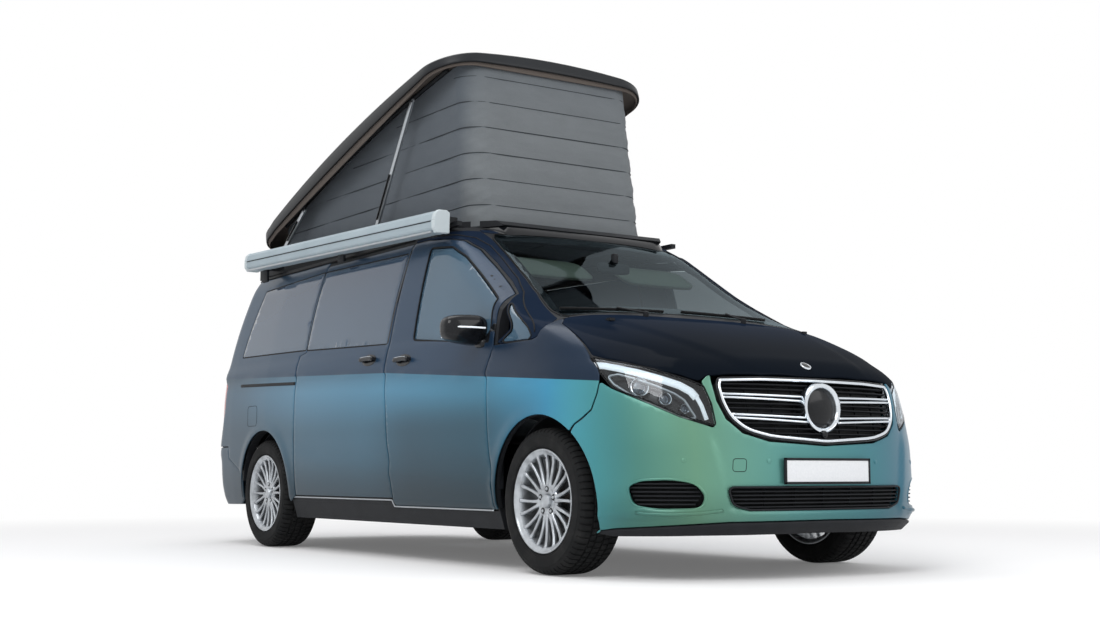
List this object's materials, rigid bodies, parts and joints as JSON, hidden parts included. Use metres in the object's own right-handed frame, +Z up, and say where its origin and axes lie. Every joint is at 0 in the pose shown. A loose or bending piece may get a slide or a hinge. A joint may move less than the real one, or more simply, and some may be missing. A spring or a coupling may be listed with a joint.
{
  "type": "camper van",
  "caption": "Camper van with a raised pop-up roof and tent, side awning, opening doors, bonnet and tailgate, steering and turning wheels.",
  "frame": {"origin": "on the ground under the centre of the bounding box", "axes": "+X forward, +Y to the left, +Z up"},
  "size_m": [5.1386, 2.244, 2.8465],
  "materials": {
    "body_paint": "colour-shift metallic, slate teal to blue",
    "dark_paint": "gloss dark navy",
    "bumper_paint": "colour-shift metallic, mint green to teal",
    "black_plastic": "satin black",
    "gloss_black": "gloss black",
    "clear_glass": "clear",
    "privacy_glass": "dark tinted",
    "lamp_clear": "clear lens",
    "lamp_red": "red lens",
    "tyre": "matt",
    "rim": "satin silver",
    "steel": "bare",
    "iron": "dark",
    "trim": "dark grain",
    "cloth": "dark woven",
    "wood": "light laminate",
    "canvas": "grey tent cloth",
    "silver": "light silver",
    "plate": "blank white"
  },
  "bodies": {
    "chassis": {"body_shell": "dark_paint", "floor_pan": "steel", "bulkhead": "steel", "arch_liners": "black_plastic", "side_sills": "black_plastic", "front_fenders": "body_paint", "front_bumper": "bumper_paint", "front_carrier": "steel", "grilles": "gloss_black", "headlights": "lamp_clear", "windscreen": "clear_glass", "sliding_door": "body_paint", "side_windows": "privacy_glass", "tail_lamps": "lamp_red", "rear_bumper": "body_paint", "front_plate": "plate", "front_axle": "iron", "rear_axle": "iron", "engine_block": "iron", "fuel_tank": "black_plastic", "exhaust": "steel", "dashboard": "trim", "front_seats": "cloth", "rear_bench": "cloth", "kitchen_unit": "wood", "roof_tray": "black_plastic", "tent": "canvas", "awning": "silver", "awning_brackets": "black_plastic"},
    "bonnet": {"bonnet": "dark_paint"},
    "door_left": {"front_door_left": "body_paint", "door_glass_left": "clear_glass", "mirror_left": "gloss_black"},
    "door_right": {"front_door_right": "body_paint", "door_glass_right": "clear_glass", "mirror_right": "gloss_black"},
    "tailgate": {"tailgate": "body_paint", "tailgate_glass": "privacy_glass", "rear_plate": "plate"},
    "steering_column": {"steering_wheel": "trim"},
    "knuckle_left": {"knuckle_left": "iron"},
    "knuckle_right": {"knuckle_right": "iron"},
    "wheel_front_left": {"tyre_front_left": "tyre", "rim_front_left": "rim"},
    "wheel_front_right": {"tyre_front_right": "tyre", "rim_front_right": "rim"},
    "wheel_rear_left": {"tyre_rear_left": "tyre", "rim_rear_left": "rim"},
    "wheel_rear_right": {"tyre_rear_right": "tyre", "rim_rear_right": "rim"},
    "roof_lid": {"roof_panel": "gloss_black"},
    "front_struts": {"roof_struts_front": "silver"},
    "rear_struts": {"roof_struts_rear": "silver"}
  },
  "joints": [
    {"name": "bonnet_hinge", "type": "hinge", "parent": "chassis", "child": "bonnet", "pos_m": [1.7, 0, 1.19], "axis": [0, -1, 0], "range_deg": [0, 50]},
    {"name": "door_left_hinge", "type": "hinge", "parent": "chassis", "child": "door_left", "pos_m": [1.262, 0.95, 0.6], "axis": [0, 0, -1], "range_deg": [0, 65]},
    {"name": "door_right_hinge", "type": "hinge", "parent": "chassis", "child": "door_right", "pos_m": [1.262, -0.95, 0.6], "axis": [0, 0, 1], "range_deg": [0, 65]},
    {"name": "tailgate_hinge", "type": "hinge", "parent": "chassis", "child": "tailgate", "pos_m": [-2.34421, 0, 1.738], "axis": [0, 1, 0], "range_deg": [0, 80]},
    {"name": "roof_hinge", "type": "hinge", "parent": "chassis", "child": "roof_lid", "pos_m": [-2.39, 0, 1.978], "axis": [0, 1, 0], "range_deg": [0, 18.4], "deforming": ["tent"]},
    {"name": "front_strut_pivot", "type": "hinge", "parent": "chassis", "child": "front_struts", "pos_m": [-0.547, 0, 1.90831], "axis": [0, 1, 0], "range_deg": [0, 61]},
    {"name": "rear_strut_pivot", "type": "hinge", "parent": "chassis", "child": "rear_struts", "pos_m": [-1.895, 0, 1.97752], "axis": [0, 1, 0], "range_deg": [0, 38]},
    {"name": "steer_left", "type": "hinge", "parent": "chassis", "child": "knuckle_left", "pos_m": [1.68, 0.763, 0.339], "axis": [0, 0, 1], "range_deg": [-35, 35]},
    {"name": "steer_right", "type": "hinge", "parent": "chassis", "child": "knuckle_right", "pos_m": [1.68, -0.763, 0.339], "axis": [0, 0, 1], "range_deg": [-35, 35]},
    {"name": "steering_wheel_turn", "type": "hinge", "parent": "chassis", "child": "steering_column", "pos_m": [1.01, 0.4, 1.005], "axis": [-0.9063, 0, 0.4226], "range_deg": [-490, 490]},
    {"name": "wheel_front_left_spin", "type": "hinge", "parent": "knuckle_left", "child": "wheel_front_left", "pos_m": [1.68, 0.833, 0.339], "axis": [0, 1, 0], "continuous": true},
    {"name": "wheel_front_right_spin", "type": "hinge", "parent": "knuckle_right", "child": "wheel_front_right", "pos_m": [1.68, -0.833, 0.339], "axis": [0, 1, 0], "continuous": true},
    {"name": "wheel_rear_left_spin", "type": "hinge", "parent": "chassis", "child": "wheel_rear_left", "pos_m": [-1.52, 0.833, 0.339], "axis": [0, 1, 0], "continuous": true},
    {"name": "wheel_rear_right_spin", "type": "hinge", "parent": "chassis", "child": "wheel_rear_right", "pos_m": [-1.52, -0.833, 0.339], "axis": [0, 1, 0], "continuous": true}
  ],
  "couplings": [
    {"joint": "front_strut_pivot", "follows": "roof_hinge", "ratio": 3.2935},
    {"joint": "rear_strut_pivot", "follows": "roof_hinge", "ratio": 2.0435},
    {"joint": "steer_right", "follows": "steer_left", "ratio": 1},
    {"joint": "steering_wheel_turn", "follows": "steer_left", "ratio": 14}
  ]
}
